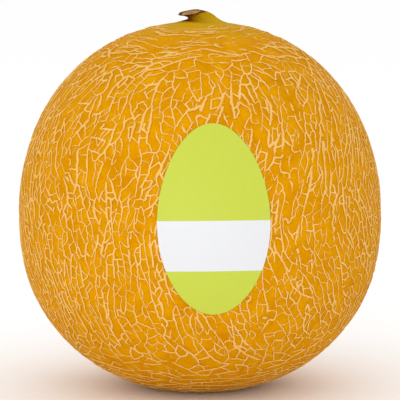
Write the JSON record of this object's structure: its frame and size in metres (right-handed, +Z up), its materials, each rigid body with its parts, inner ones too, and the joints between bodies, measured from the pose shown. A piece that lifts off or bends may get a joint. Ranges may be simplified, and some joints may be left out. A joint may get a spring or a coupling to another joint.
{
  "type": "galia melon",
  "caption": "Round netted melon standing on its flat blossom end, with a dried stem stub and a plain oval label.",
  "frame": {"origin": "centre of the small flat spot that the fruit rests on", "axes": "+Z up from the resting spot to the stem; the label is on the -Y side, and +X is to its right"},
  "size_m": [0.14, 0.1408, 0.1474],
  "materials": {
    "rind": "ripe orange-yellow rind under pale corky netting, satin with a faint waxy sheen",
    "stem": "drying olive-yellow stalk, matt, with a brown rim and a tan cut end",
    "label_film": "lime green printed film with a plain white panel, satin"
  },
  "bodies": {
    "root": {"melon": "rind", "stem_stub": "stem", "label": "label_film"}
  },
  "joints": []
}
